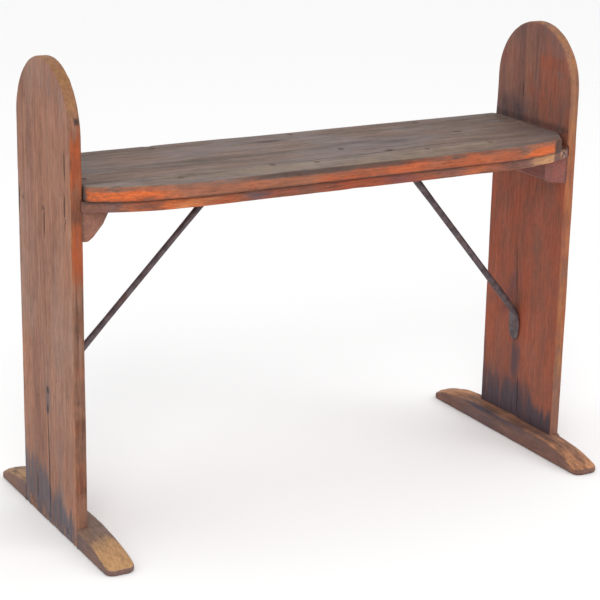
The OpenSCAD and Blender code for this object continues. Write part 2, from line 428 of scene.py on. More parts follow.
class Shader:
    """Short calls for building one material's nodes."""

    def __init__(self, name, offset=(0, 0, 0)):
        self.material = bpy.data.materials.new(name)
        self.material.use_nodes = True
        self.tree = self.material.node_tree
        self.inputs = self.tree.nodes["Principled BSDF"].inputs
        self.offset = offset

    def put(self, value, socket):
        if isinstance(value, bpy.types.NodeSocket):
            self.tree.links.new(value, socket)
        else:
            socket.default_value = value

    def surface(self, looks):
        """Sets the shader's own inputs. Each look is a value or a node's output."""
        for key, look in looks.items():
            self.put(look, self.inputs[key])

    def node(self, kind, inputs, **settings):
        """A new node's outputs. Each input is a value or another node's output."""
        made = self.tree.nodes.new(kind)
        for key, value in settings.items():
            setattr(made, key, value)
        for key, value in inputs.items():
            self.put(value, made.inputs[key])
        return made.outputs

    def noise(self, scale, detail, rough, twist=0.0):
        """Noise in the object's own space, with one scale for each axis."""
        place = self.node("ShaderNodeTexCoord", {})["Object"]
        where = self.node("ShaderNodeMapping", {"Vector": place, "Scale": scale, "Location": self.offset})
        look = {"Scale": 1.0, "Detail": detail, "Roughness": rough, "Distortion": twist}
        return self.node("ShaderNodeTexNoise", {"Vector": where["Vector"], **look})["Fac"]

    def math(self, kind, a, b):
        return self.node("ShaderNodeMath", {0: a, 1: b}, operation=kind)[0]

    def between(self, value, low, high, to_low=0.0, to_high=1.0):
        """Carries low to high smoothly over to to_low to to_high."""
        limits = {"From Min": low, "From Max": high, "To Min": to_low, "To Max": to_high}
        made = self.node("ShaderNodeMapRange", {"Value": value, **limits}, interpolation_type="SMOOTHSTEP")
        return made["Result"]

    def mix(self, amount, a, b, blend="MIX"):
        return self.node("ShaderNodeMix", {0: amount, 6: a, 7: b}, data_type="RGBA", blend_type=blend)[2]

    def layer(self, under, over, mask, ragged, low, high, strength):
        """Lays a colour over another where a mask is strong. The noises in ragged break up its edge."""
        for noise, reach in ragged:
            mask = self.math("ADD", mask, self.math("MULTIPLY", self.math("SUBTRACT", noise, 0.5), reach))
        return self.mix(self.between(mask, low, high, 0, strength), under, over)

    def relief(self, layers):
        """Bumps on bumps, from pairs of a height and its depth in metres, into the shader."""
        normal = None
        for height, depth in layers:
            inputs = {"Height": height, "Distance": depth}
            if normal is not None:
                inputs["Normal"] = normal
            normal = self.node("ShaderNodeBump", inputs)["Normal"]
        self.surface({"Normal": normal})


def wear_and_shade_masks(s):
    """Stain, paint, rubbed wood, grime with painted shade, and fresh paint, from the mesh's attributes."""
    layer = s.node("ShaderNodeAttribute", {}, attribute_name="wear_and_shade")
    parts = s.node("ShaderNodeSeparateColor", {0: layer["Color"]})
    fresh = s.node("ShaderNodeAttribute", {}, attribute_name="fresh")
    return (*parts[:3], layer["Alpha"], fresh["Fac"])


def old_wood(name, axis, tones, paint, vivid, rub, stain, seed, dirt_and_shade=(46, 36, 36), streaky=1.0):
    """Weathered wood with its grain along an axis.

    tones holds the main, dark, light and patina colours; paint holds two worn paint colours,
    and vivid is the paint where it is least worn. streaky is how strong the grain looks.
    """
    s = Shader(name, (seed * 1.37, seed * 2.11, seed * 0.73))

    def grain(along, across, detail, rough, twist=0.0):
        return s.noise(tuple(along if i == axis else across for i in range(3)), detail, rough, twist)

    bands = grain(1.6, 34, 5, 0.6, 0.6)
    streaks = grain(7, 170, 5, 0.65, 0.3)
    flecks = grain(24, 300, 4, 0.7, 0.8)
    pores = grain(60, 430, 3, 0.6)
    fibres = grain(26, 900, 3, 0.6)
    clouds = grain(7, 13, 5, 0.6)
    blotches = grain(22, 48, 5, 0.65)
    grime = grain(110, 240, 4, 0.7)
    main, dark, light, patina = (srgb(c) for c in tones)
    stain_mask, paint_mask, rub_mask, dirt_and_shade_mask, fresh_mask = wear_and_shade_masks(s)

    colour = s.mix(s.between(bands, 0.34, 0.64), dark, main)
    colour = s.mix(s.between(streaks, 0.5, 0.76, 0, 0.8), colour, light)
    colour = s.mix(s.between(clouds, 0.42, 0.66, 0, 0.9), colour, patina)
    painted = s.mix(s.between(clouds, 0.4, 0.6), srgb(paint[0]), srgb(paint[1]))
    for over, mask, in_streaks, in_blotches, low, high, strength in (
        (painted, paint_mask, 1.4 * streaky, 1.3, 0.2, 0.85, 0.95),
        (srgb(vivid), fresh_mask, 1.2, 1.4, 0.25, 0.9, 0.95),
        (srgb(rub), rub_mask, 1.2, 0.8, 0.2, 0.95, 0.9),
        (srgb(stain), stain_mask, 0.4 + 1.4 * streaky, 0.9, 0.15, 0.9, 0.94),
    ):
        ragged = ((streaks, in_streaks), (blotches, in_blotches))
        colour = s.layer(colour, over, mask, ragged, low, high, strength)

    coarse = 0.5 + 0.5 * streaky
    shade = s.between(fibres, 0.35, 0.7, 0.9, 1.06)
    for shading in (
        (blotches, 0.3, 0.6, 0.86, 1.06),
        (grime, 0.32, 0.6, 0.92, 1.03),
        (streaks, 0.3, 0.52, 1 - 0.14 * streaky, 1.0),
        (flecks, 0.34, 0.66, 1 - 0.18 * coarse, 1 + 0.12 * coarse),
        (pores, 0.3, 0.44, 1 - 0.26 * coarse, 1.0),
        (pores, 0.58, 0.72, 1.0, 1 + 0.2 * coarse),
    ):
        shade = s.math("MULTIPLY", shade, s.between(*shading))
    tint = s.node("ShaderNodeCombineColor", {0: shade, 1: shade, 2: shade})[0]
    colour = s.mix(1.0, colour, tint, "MULTIPLY")
    # grime and painted shade, laid on in one darkening colour
    colour = s.layer(colour, srgb(dirt_and_shade), dirt_and_shade_mask, ((grime, 0.5), (streaks, 0.7)), 0.12, 0.95, 0.92)

    gloss = s.math("ADD", s.math("MULTIPLY", clouds, 0.5), s.math("MULTIPLY", streaks, 0.5))
    roughness = s.between(gloss, 0.35, 0.65, 0.78, 0.52)
    s.surface({"Base Color": colour, "Roughness": roughness, "Specular IOR Level": 0.3})
    s.relief(((fibres, 0.0002), (pores, 0.0004), (flecks, 0.0004), (streaks, 0.0005), (grime, 0.00015)))
    return s.material


def old_iron(name, seed):
    """Dark forged iron, pitted, with brown rust."""
    s = Shader(name, (seed * 0.9, seed * 1.7, seed * 0.4))
    pits = s.noise((420, 420, 420), 5, 0.65)
    hammer = s.noise((90, 90, 90), 2, 0.4)
    rust = s.noise((60, 60, 60), 6, 0.7)
    colour = s.mix(s.between(hammer, 0.35, 0.65), srgb((78, 66, 70)), srgb((104, 89, 92)))
    colour = s.mix(s.between(rust, 0.52, 0.7, 0, 0.7), colour, srgb((96, 66, 54)))
    colour = s.mix(s.between(pits, 0.5, 0.3, 0, 0.6), colour, srgb((48, 40, 43)))
    roughness = s.between(rust, 0.35, 0.65, 0.48, 0.78)
    s.surface({"Base Color": colour, "Roughness": roughness, "Metallic": 0.25})
    s.relief(((hammer, 0.0006), (pits, 0.0003)))
    return s.material


left_board_wood = old_wood(
    "left_board_wood", Z, seed=1,
    tones=((162, 111, 86), (136, 94, 77), (174, 125, 95), (148, 110, 92)),
    paint=((138, 74, 44), (124, 79, 55)), vivid=(162, 78, 38), rub=(146, 103, 64), stain=(84, 78, 86),
)
right_board_wood = old_wood(
    "right_board_wood", Z, seed=2, streaky=0.4,
    tones=((142, 96, 78), (114, 78, 70), (156, 106, 82), (122, 92, 86)),
    paint=((150, 78, 54), (142, 78, 55)), vivid=(158, 72, 46), rub=(158, 106, 65), stain=(66, 58, 67),
)
top_board_wood = old_wood(
    "top_board_wood", X, seed=3, dirt_and_shade=(66, 45, 37),
    tones=((124, 101, 89), (98, 82, 74), (142, 118, 101), (116, 101, 98)),
    paint=((172, 86, 50), (150, 92, 66)), vivid=(204, 98, 44), rub=(140, 121, 101), stain=(80, 67, 66),
)
under_board_wood = old_wood(
    "under_board_wood", X, seed=4, dirt_and_shade=(54, 40, 36),
    tones=((140, 84, 60), (107, 73, 62), (165, 99, 60), (119, 84, 77)),
    paint=((153, 67, 45), (163, 86, 45)), vivid=(186, 97, 50), rub=(194, 141, 97), stain=(84, 72, 81),
)
left_foot_wood = old_wood(
    "left_foot_wood", Y, seed=5,
    tones=((140, 108, 84), (112, 88, 76), (162, 128, 96), (124, 100, 90)),
    paint=((124, 92, 80), (114, 86, 80)), vivid=(140, 88, 64), rub=(190, 146, 100), stain=(80, 70, 74),
)
right_foot_wood = old_wood(
    "right_foot_wood", Y, seed=6,
    tones=((135, 98, 78), (106, 78, 71), (157, 113, 86), (117, 86, 80)),
    paint=((116, 84, 74), (102, 78, 76)), vivid=(128, 82, 64), rub=(193, 134, 92), stain=(62, 56, 68),
)
cleat_wood = old_wood(
    "cleat_wood", Y, seed=7, streaky=0.0,
    tones=((142, 96, 78), (114, 80, 72), (158, 108, 84), (126, 90, 84)),
    paint=((144, 76, 64), (130, 76, 68)), vivid=(150, 78, 64), rub=(162, 112, 92), stain=(80, 64, 68),
)
brace_iron = old_iron("forged_iron", 8)
nail_iron = old_iron("nail_iron", 9)


# ---- end boards ----

LEFT_OUTER_CRACKS = crack_list(
    ([(0, 388), (-1, 433)], 0.9, 2.5, 2),
    ([(84, 402), (83, 446)], 1.3, 3.0, 3),
    ([(-69, 414), (-68, 466)], 1.2, 3.0, 4),
    ([(-71, 475), (-70, 520)], 0.7, 1.5, 5),
    ([(1, 160), (0, 120), (-1, 60), (-1, 8)], 0.5, 1.4, 6),
    ([(42, 60), (43, 20)], 0.5, 1.0, 7),
)
LEFT_INNER_CRACKS = crack_list(
    ([(2, 260), (1, 214)], 0.8, 2.0, 19),
    ([(-40, 420), (-42, 350)], 0.7, 1.6, 20),
)
RIGHT_INNER_CRACKS = crack_list(
    ([(17, 296), (13, 250), (8, 200)], 0.6, 1.4, 12),
    ([(-3, 92), (-4, 30)], 0.7, 1.8, 13),
    ([(22, 532), (21, 506)], 0.5, 0.8, 14),
)
RIGHT_OUTER_CRACKS = crack_list(
    ([(6, 160), (4, 90), (5, 8)], 0.9, 2.5, 16),
    ([(-52, 470), (-50, 400)], 0.8, 2.0, 17),
    ([(60, 612), (58, 540)], 0.7, 1.6, 18),
)
# centre, radii and strength of the dark holes round the left rivet
LEFT_BOARD_HOLES = [((0, 187), (5, 6), 1.0), ((1, 161), (4, 7), 1.0), ((-29, 209), (2, 3), 0.8)]


def arch_outline(width, height, taper_back, step=3.0):
    """A board with a round top, in Y and Z. Its back edge narrows towards the arch."""
    half = width / 2
    spring = height - half
    turn = np.linspace(0, math.pi, 100)
    arch_y = (half - taper_back / 2) * np.cos(turn) - taper_back / 2
    rise = np.arange(step, spring, step)
    back_y = half - taper_back * smooth(spring - 110, spring - 10, rise)
    # the front corner is cut off a little, so the sole starts at its third point
    sole_y = np.linspace(step - half, half - step, round(width / step))[2:]
    return np.concatenate([
        np.column_stack([arch_y, spring + half * np.sin(turn)]),
        np.column_stack([np.full(len(rise), -half), rise[::-1]]),
        np.column_stack([sole_y, 0 * sole_y]),
        np.column_stack([back_y, rise]),
    ])


def groove_rows(groove_z, half):
    """Mesh rows just above and below both edges of the groove."""
    y = np.arange(-half, half, 3.0)
    return np.concatenate([
        np.column_stack([y, np.full(len(y), z + shift)]) for z in groove_z for shift in (-0.15, 0.15)
    ])


def nail_row(node):
    """The Y and Z of three nails through an end board, evenly spaced in their CAD node's box."""
    low, high = node_box(node)
    middle = (low[Z] + high[Z]) / 2
    return [(y, middle) for y in np.linspace(low[Y] + HEAD_R, high[Y] - HEAD_R, 3)]


def end_board(side, inner_cracks, outer_cracks, taper_back, paint, material):
    """A worn board with a groove, splits and nail pits. Heights run from its inner to its outer face."""
    name = SIDE_NAMES[side]
    node = name + "_end_board"
    _, high = node_box(node)
    near, far = reach_x(node)
    thick = far - near
    under_low, under_high = node_box("under_board")
    groove_z = (under_low[Z], under_high[Z])
    groove_depth = reach_x("under_board")[1] - near
    pits = nail_row(name + "_cleat_nails") + nail_row(name + "_foot_nails")

    def arris(uv):
        return np.where(uv[:, 1] < 12, 2.0, 2.5 + 0.9 * fbm(uv, 60, 31 + side))

    inner_rows = [groove_rows(groove_z, high[Y])] + [c.rows() for c in inner_cracks]
    outer_rows = [pit_rings(p) for p in pits] + [c.rows() for c in outer_cracks]
    uvh, out, faces = carve(
        arch_outline(2 * high[Y], high[Z], taper_back), constant(0), constant(thick), arris, arris,
        extra=(np.concatenate(inner_rows), np.concatenate(outer_rows)),
    )
    uv = uvh[:, :2]
    is_inner, is_outer = out[:, 2] < -0.9, out[:, 2] > 0.9
    depth = 0.1 + 0.35 * fbm(uvh * [1, 0.12, 1], 9, 44 + side)
    depth += np.where(is_inner, crack_depth(inner_cracks, uv), 0)
    depth += np.where(is_outer, crack_depth(outer_cracks, uv) + pit_depth(uv, pits, 1.3), 0)
    chips = smooth(14, 0, uv[:, 1]) * clipped(fbm(uvh, 12, 50))
    depth += np.where(is_inner, 0, 2.0 * chips)
    shaped = uvh - out * depth[:, None]
    warp = 0.8 * fbm(uv, (120, 260, 1), 40 + side)
    shaped[:, 2] += np.where(uv[:, 1] > 460, warp, 0)
    in_groove = (uv[:, 1] > groove_z[0]) & (uv[:, 1] < groove_z[1])
    shaped[:, 2] = np.where(in_groove, np.maximum(shaped[:, 2], groove_depth + 0.1), shaped[:, 2])
    points = np.stack([side * (near + shaped[:, 2]), shaped[:, 0], np.maximum(shaped[:, 1], 0)], 1)
    normals = np.stack([side * out[:, 2], out[:, 0], out[:, 1]], 1)
    inner, outer = facing(normals, X, -side), facing(normals, X, side)
    front, arch = facing(normals, Y, -1), facing(normals, Z, 1, 0.2, 0.6)
    masks = paint(points, (inner, outer, front, arch), uvh[:, 2], thick)
    make_piece(node, "_worn", material, points, faces, masks)


def bare_edges(points, sides, height, thick, patches, bare_z, seed):
    """Rubbed wood along a board's arrises, and over its front and arch from bare_z up."""
    front, arch = sides[2:]
    distance = np.minimum(height, thick - height)
    arris = smooth(4.0, 0.4, distance) * clipped(0.55 + 0.6 * fbm(points, 26, seed))
    arris = arris * (0.2 + 0.6 * front + 0.3 * arch)
    return most(arris, most(front, arch) * smooth(*bare_z, points[:, Z]) * (0.6 + 0.4 * patches))


def paint_left_board(points, sides, height, thick):
    x, y, z = points.T
    inner, outer, front, _ = sides
    patches = fbm((0 * z, 0 * z, z), 60, 64)
    lower_half = smooth(380, 300, z)

    damp_top = 44 + 40 * smooth(-80, 80, y) + 26 * fbm((y, 0.1 * z), 12, 60, 4)
    splinters = outer * smooth(26, 8, z) * smooth(0.05, 0.3, fbm((y, 0.4 * z), 5, 65))
    damp = 0.78 * smooth(26, -22, z - damp_top) * (0.6 + 0.4 * outer) * smooth(-92, -78, y)
    damp = damp * (1 - 0.8 * front) * (1 - 0.6 * splinters)
    rivet_rust = 0.75 * spot(y, z, (0, 174), (6, 26), 0.9) * outer
    mauve = outer * (0.22 * smooth(170, 120, z) + 0.3 * spot(y, z, (-20, 585), (50, 26), 0.9))
    stain = most(damp, rivet_rust, mauve)

    front_paint = front * (0.75 - 0.3 * lower_half + 0.5 * patches) * smooth(600, 500, z)
    paint = most(front_paint, 0.75 * inner)
    fresh = 0.85 * front * (band(z, 506, 40, 0.7) + band(z, 390, 40, 0.7))
    rub = most(bare_edges(points, sides, height, thick, patches, (530, 575), 61), 0.9 * splinters)

    knot = spot(x, z, (-371, 554), (3.5, 5), 0.5) * front
    grime = 0.25 + 0.12 * lower_half + 0.35 * clipped(fbm(points, 18, 62))
    dirt_and_shade = most(
        0.85 * marks(y, z, LEFT_BOARD_HOLES, 0.4),
        0.85 * knot,
        0.8 * outer * crack_mask(LEFT_OUTER_CRACKS, y, z),
        front * 0.45 * band(z, 438, 14, 0.8),
        front * grime,
        0.5 * smooth(30, 4, z) * clipped(fbm(points, 9, 63)),
    )
    return wear_and_shade(stain, paint, rub, dirt_and_shade, fresh)


def paint_right_board(points, sides, height, thick):
    y, z = points[:, 1], points[:, 2]
    inner, outer, front, _ = sides
    above_seat = smooth(440, 470, z)
    patches = fbm((0 * z, 0 * z, z), 60, 74)
    grain = (y, 0.1 * z)

    damp_top = 84 + 16 * smooth(60, 88, y) - 34 * band(y, -64, 22, 0.8) + 22 * fbm(grain, 12, 70, 4)
    damp = 0.98 * smooth(28, -20, z - damp_top) * (0.5 + 0.5 * inner) * (1 - 0.75 * front)
    stain = most(
        damp * (0.66 + 0.34 * smooth(78, 20, z) + 0.34 * fbm(grain, 5, 75, 2)),
        0.42 * inner * smooth(-45, 10, y) * smooth(damp_top + 62, damp_top, z),
        0.76 * inner * spot(y, z, (8, 114), (14, 42), 0.8),
        0.5 * inner * spot(y + 0.4 * (z - 230), z, (20, 215), (16, 50), 0.9),
        0.62 * inner * spot(y, z, (50, 484), (56, 34), 0.9) * above_seat,
        inner * above_seat * (0.14 + 0.2 * smooth(570, 610, z) + 0.12 * smooth(-20, 60, y)),
    )

    bright_patch = (y < -18) & (y > -74) & (z > 559) & (z < 576)
    inner_paint = 0.8 - 0.46 * above_seat + 0.2 * smooth(20, -70, y) * above_seat * smooth(560, 500, z)
    inner_paint = inner_paint + 0.22 * bright_patch + 0.15 * spot(y, z, (-40, 560), (40, 40), 0.8)
    front_paint = (0.55 + 0.4 * patches) * smooth(90, 170, z) * smooth(540, 470, z)
    paint = most(inner * inner_paint, front * front_paint, 0.6 * outer)
    fresh = most(
        0.34 * inner * smooth(440, 400, z) * smooth(100, 160, z),
        0.6 * inner * spot(y, z, (10, 481), (12, 6), 0.8),
        0.4 * front * smooth(240, 330, z) * smooth(520, 440, z),
    )
    rub = most(
        bare_edges(points, sides, height, thick, patches, (500, 580), 71),
        0.4 * inner * smooth(20, 70, y) * smooth(130, 100, z) * smooth(60, 80, z),
        front * (0.55 - 0.3 * smooth(130, 60, z)),
    )

    scuffs = 0.5 * spot(y, z, (34, 492), (9, 12), 0.9) + 0.45 * spot(y, z, (66, 496), (9, 14), 0.9)
    dirt_and_shade = most(
        scuffs * inner * above_seat,
        # painted shade in a band across the inner face where the seat meets it
        0.6 * inner * smooth(12, 0, np.abs(z - 478)),
        0.6 * inner * crack_mask(RIGHT_INNER_CRACKS, y, z),
        0.45 * inner * spot(y, z, (10, 186), (17, 40), 0.9),
        0.3 * front * clipped(2 * fbm(points, 24, 72) - 0.3),
        0.26 * front * smooth(140, 70, z),
        0.34 * smooth(3.2, 1.6, height) * smooth(-82, -85, y) * above_seat,
    )
    return wear_and_shade(stain, paint, rub, dirt_and_shade, fresh)


# ---- seat boards ----

FRONT_STRAIGHT = 230  # half the length of the front's straight middle
FRONT_DROP = 34  # how far the front curves back at each end
SEAT_CRACKS = crack_list(
    ([(-110, -84), (-20, -76), (60, -74), (140, -66), (205, -64), (268, -58)], 0.9, 3.0, 21, 1.6),
    ([(-262, -97), (-150, -88)], 0.6, 1.2, 22),
    ([(180, -70), (330, -62)], 0.7, 1.5, 23),
    ([(40, -52), (150, -46)], 0.5, 1.0, 24),
    ([(-330, -40), (-250, -44)], 0.5, 1.0, 25),
)
# nails between the seat's ends, in X and Y
TOP_NAILS = [(-237, -94), (-99, -80), (-39, -88), (30, -33), (84, -68), (135, -82), (236, -84),
             (-200, 70), (12, 74), (215, 70)]
# centre, radii and strength of each knot or stain
SEAT_KNOTS = [((-38, 46), (32, 4.5), 1.0), ((235, -5), (13, 5), 1.0), ((164, 2), (40, 6), 0.75),
              ((60, -8), (46, 7), 0.75), ((120, -22), (26, 9), 0.85), ((-170, 30), (44, 3.5), 0.5),
              ((-300, -60), (30, 3), 0.5)]
UNDER_STAINS = [((-146, 449), (24, 9), 0.6), ((64, 449), (30, 8), 0.4)]


def seat_outline(node, left_r, right_r, back_r, step=3.0):
    """A seat board in X and Y: straight back, and a front that curves back at both ends."""
    low, high = node_box(node)
    half, front, back = high[X], low[Y], high[Y]
    run = half - FRONT_STRAIGHT
    arc_r = (run**2 + FRONT_DROP**2) / (2 * FRONT_DROP)
    bow = []
    for x in np.arange(-half, half + 0.01, step):
        over = max(0.0, abs(x) - FRONT_STRAIGHT)
        bow.append((x, front + arc_r - math.sqrt(arc_r**2 - over**2)))
    first, last = bow[0], (half, bow[0][1])
    middle = [p for p in bow if left_r - half < p[0] < half - right_r]
    corners = [first, *middle, last, (half, back), (-half, back)]
    radii = [left_r] + [0.0] * len(middle) + [right_r, back_r, back_r]
    return densify(rounded(corners, radii), step)


def end_nails(side):
    """The places of the three nails through an end of the seat."""
    low, high = node_box(SIDE_NAMES[side] + "_seat_nails")
    middle = (low + high) / 2
    return [(middle[X], low[Y] + HEAD_R), (middle[X], middle[Y] - 2), (middle[X], high[Y] - HEAD_R)]


def seat_height(uv):
    """Cupping and a hollow worn into the seat."""
    x, y = uv[:, 0], uv[:, 1]
    return 0.5 * fbm((0.3 * x, y), 45, 80) - 0.9 * spot(x, y, (0, -20), (240, 90), 0.8)


def top_board(nail_places):
    low, high = node_box("top_board")
    line = seat_outline("top_board", 16, 34, 10)
    line[:, 1] += 0.9 * fbm(line[:, 0], 70, 81) * (line[:, 1] < 0)
    line[:, 1] -= 2.2 * smooth(8, 0, np.abs(line[:, 0] + 200)) * (line[:, 1] > 80)
    broken_corner = 8.0 * spot(line[:, 0], line[:, 1], (360, -92), (16, 16), 0.6)
    line -= broken_corner[:, None] * np.array([0.87, -0.5])

    def upper_arris(uv):
        worn = band(uv[:, 0], -20, 190, 0.6) * (uv[:, 1] < -60)
        return 3.6 + 1.2 * fbm(uv, 50, 82) + 4.2 * worn

    def lower_arris(uv):
        return 1.3 + 7.0 * clipped(fbm(uv, 52, 83))

    rows = np.concatenate([pit_rings(p) for p in nail_places] + [c.rows() for c in SEAT_CRACKS])
    bottom, top = constant(low[Z]), constant(high[Z])
    uvh, out, faces = carve(line, bottom, top, lower_arris, upper_arris, extra=((), rows))
    uv = uvh[:, :2]
    gouges = clipped(fbm((0.3 * uv[:, 0], uvh[:, 2]), 7, 85) - 0.25)
    depth = 0.2 + 0.3 * fbm(uvh * [0.1, 1, 1], 8, 84)
    depth += np.where(out[:, 2] > 0.9, crack_depth(SEAT_CRACKS, uv) + pit_depth(uv, nail_places, 1.6), 0)
    depth += np.where(np.abs(out[:, 2]) < 0.9, 2.6 * gouges, 0)
    points = uvh - out * depth[:, None]
    points[:, 2] += np.where(out[:, 2] > 0, seat_height(uv) * smooth(low[Z], high[Z], points[:, 2]), 0)
    masks = paint_top_board(points, out, nail_places, low[Z], high[Z])
    make_piece("top_board", "_worn", top_board_wood, points, faces, masks)


def paint_top_board(points, normals, nail_places, bottom_z, top_z):
    x, y, z = points.T
    top, front = facing(normals, Z, 1, 0.5, 0.9), facing(normals, Y, -1, 0.1, 0.5)
    wall = smooth(0.9, 0.6, normals[:, 2])
    clouds = fbm((0.4 * x, y, z), 40, 90, 4)
    fall = top_z - z

    worn = (0.25 + 0.85 * band(x, -45, 140, 0.7) + 0.5 * clouds) * smooth(9.5, 5, fall)
    worn = worn * (y < -60) * facing(normals, Y, -1, 0.02, 0.2)
    paint = front * (0.95 + 0.4 * clouds) - 0.6 * worn
    right_end = smooth(266, 306, x + 2.5 * (fall - 6)) * smooth(330, 324, x)
    left_end = smooth(-225, -310, x) * smooth(-365, -362, x)
    fresh = front * (1.1 * right_end + 0.8 * left_end + 0.25 * clipped(3 * clouds)) * smooth(3, 7, fall)

    knots = marks(x, y, SEAT_KNOTS, 0.9)
    stain = top * (0.7 * knots + 0.32 * spot(x, y, (90, -30), (80, 30), 0.9) + 0.3 * clipped(clouds))
    front_strip = 0.55 * smooth(-72, -84, y) * smooth(300, 200, x)
    pale = 0.5 * spot(x, y, (212, -50), (60, 30), 0.9)
    rub = top * most(front_strip, pale) * (0.9 + 0.4 * clouds)

    ends = 0.32 * top * smooth(285, 330, x) * smooth(40, -10, y) + 0.2 * top * smooth(352, 364, np.abs(x))
    hearts = spot(x, y, (-38, 46), (17, 6), 0.6) + spot(x, y, (235, -5), (8, 4), 0.7)
    broken_corner = smooth(322, 330, x) * (1 - 0.45 * smooth(338, 348, x))
    dirt_and_shade = most(
        0.62 * worn,
        ends,
        0.7 * top * crack_mask(SEAT_CRACKS, x, y, 1.0),
        0.9 * top * hearts,
        0.6 * top * marks(x, y, [(place, (4.2, 4.2), 1.0) for place in nail_places], 0.4),
        0.9 * top * spot(x, y, (84, -68), (9, 4.5), 0.6),
        # painted shade in the seam: the underside and the lowest 3 mm of the sides, where the top board sits
        # on the under board
        0.7 * smooth(3.0, 0.6, z - bottom_z) * (1 - top),
        # painted shade on the end walls at the broken right corner and at the left end, and on the top in
        # the recess at the broken right corner
        wall * (0.95 * broken_corner + 0.5 * smooth(-361.5, -364.5, x)),
        0.55 * top * spot(x, y, (357, -84), (9, 13), 0.7),
        # painted shade on the upper part of the front face, darker towards the top where it rounds over
        0.45 * front * smooth(9, 3, fall) * clipped(0.5 + fbm(x, 55, 91)),
    )
    return wear_and_shade(stain, paint, rub, dirt_and_shade, fresh)


def under_board():
    low, high = node_box("under_board")
    line = seat_outline("under_board", 2.5, 9, 3)
    line[:, 0] *= (high[X] - 0.3) / high[X]

    def arris(uv):
        near_end = smooth(355, 366, np.abs(uv[:, 0]))
        chipped = 1.6 + 3.0 * np.clip(fbm(uv, 30, 92), -0.2, 1)
        return chipped * (1 - near_end) + 0.8 * near_end

    uvh, out, faces = carve(line, constant(low[Z]), constant(high[Z]), arris, arris, cell=7)
    gouges = clipped(fbm((0.25 * uvh[:, 0], 2 * uvh[:, 2]), 8, 93) - 0.2)
    past_joint = smooth(364, 350, np.abs(uvh[:, 0]))
    depth = 0.15 + past_joint * np.where(np.abs(out[:, 2]) < 0.9, 2.2 * gouges, 0.1)
    points = uvh - out * depth[:, None]
    masks = paint_under_board(points, out)
    make_piece("under_board", "_worn", under_board_wood, points, faces, masks)


def paint_under_board(points, normals):
    x, y, z = points.T
    front, beneath = facing(normals, Y, -1, 0.35, 0.7), facing(normals, Z, -1, 0.5, 0.9)
    patches = fbm((0.5 * x, y, z), 46, 95, 4)
    paint = front * (0.55 + 0.8 * patches) + 0.45 * beneath
    paint = paint * smooth(-366, -280, x) * smooth(300, 250, x)
    fresh = front * (0.8 * band(x, -250, 34, 0.8) + 0.7 * band(x, 210, 44, 0.8))
    rub = most(
        front * smooth(258, 300, x) * smooth(335, 327, x) * (0.9 + 0.4 * patches),
        0.7 * smooth(330, 336, x) * (fbm(points, 6, 98) > 0.05),
        0.45 * front * smooth(0.05, 0.4, patches) * smooth(200, 100, np.abs(x + 210)),
    )
    stain = 0.45 * clipped(-2 * patches) + 0.4 * smooth(327, 335, x)
    stain = front * (stain + marks(x, z, UNDER_STAINS, 0.9))
    ends = clipped(smooth(0.3, 0.8, np.abs(normals[:, 0])) + smooth(357, 366, np.abs(x)))
    dirt_and_shade = most(
        # painted shade under the top board: along the top of the front face and over the whole upper face
        0.7 * smooth(452.8, 455.4, z) * front,
        0.5 * facing(normals, Z, 1),
        0.5 * front * smooth(325, 335, x) * (fbm(points, 5, 96) > 0),
        0.3 * ends * clipped(0.5 + fbm(points, 5, 97)),
        0.26 * front * smooth(-290, -345, x),
    )
    return wear_and_shade(stain, paint, rub, dirt_and_shade, fresh)


# ---- feet and cleats ----

NOSE_RUN = 90  # length of the falling part of a foot's top
NOSE_DROP = 17  # how far it falls
NOTCH_GAP = 0.2


def foot_outline(width, half, notch_half, notch_depth, step=2.6):
    """A foot in plan, u away from the bench's middle, v along Y, with the notch for its board."""
    mouth = notch_half + NOTCH_GAP
    bottom = width - notch_depth - NOTCH_GAP
    corners = [
        (0, -half), (width, -half), (width, -mouth), (bottom, -mouth),
        (bottom, mouth), (width, mouth), (width, half), (0, half),
    ]
    radii = [12, 12, 0.8, 0, 0, 0.8, 12, 12]
    return densify(rounded(corners, radii, 8), step)


def foot(side, paint, material, seed):
    """A runner foot with falling noses, standing on the floor."""
    node, board = SIDE_NAMES[side] + "_foot", SIDE_NAMES[side] + "_end_board"
    _, high = node_box(node)
    near, far = reach_x(node)
    board_near, board_far = reach_x(board)
    width, half, top = far - near, high[Y], high[Z]
    notch_half, notch_depth = node_box(board)[1][Y], board_far - board_near

    def surface(uv):
        off_middle = np.abs(uv[:, 1])
        fall = NOSE_DROP * (np.clip(off_middle - (half - NOSE_RUN), 0, NOSE_RUN) / NOSE_RUN) ** 2
        crown = 2.2 * (np.abs(uv[:, 0] - width * 0.5) / (width * 0.5)) ** 2
        crown = crown * smooth(half - NOSE_RUN - 30, half - 60, off_middle)
        return top - 0.6 - fall - crown + 1.2 * fbm(uv, (26, 40, 1), seed)

    def at_notch(uv):
        return (np.abs(uv[:, 1]) < notch_half + 0.6) & (uv[:, 0] > width - notch_depth - 1)

    def upper_arris(uv):
        off_middle = np.abs(uv[:, 1])
        beside_notch = 0.5 + np.clip(off_middle - notch_half - 0.3, 0, None)
        radius = np.where(uv[:, 0] > width - 0.5, np.minimum(6.0, beside_notch), 6.0)
        radius = radius - 1.5 * smooth(half - 60, half - 10, off_middle)
        return np.where(at_notch(uv), 0.5, radius)

    def lower_arris(uv):
        return np.where(at_notch(uv), 0.4, 2.4)

    line = foot_outline(width, half, notch_half, notch_depth)
    uvh, out, faces = carve(line, constant(0), surface, lower_arris, upper_arris, cell=3.2)
    depth = 0.25 + 0.6 * fbm(uvh * [1, 0.3, 1], 14, seed + 1) + 0.3 * fbm(uvh * [1, 0.15, 1], 6, seed + 2)
    depth = np.where(at_notch(uvh) | (out[:, 2] < -0.9), 0, np.maximum(depth, -0.2))
    shaped = uvh - out * depth[:, None]
    points = np.stack([side * (near + shaped[:, 0]), shaped[:, 1], np.maximum(shaped[:, 2], 0)], 1)
    masks = paint(points, out * [side, 1, 1])
    make_piece(node, "_worn", material, points, faces, masks)


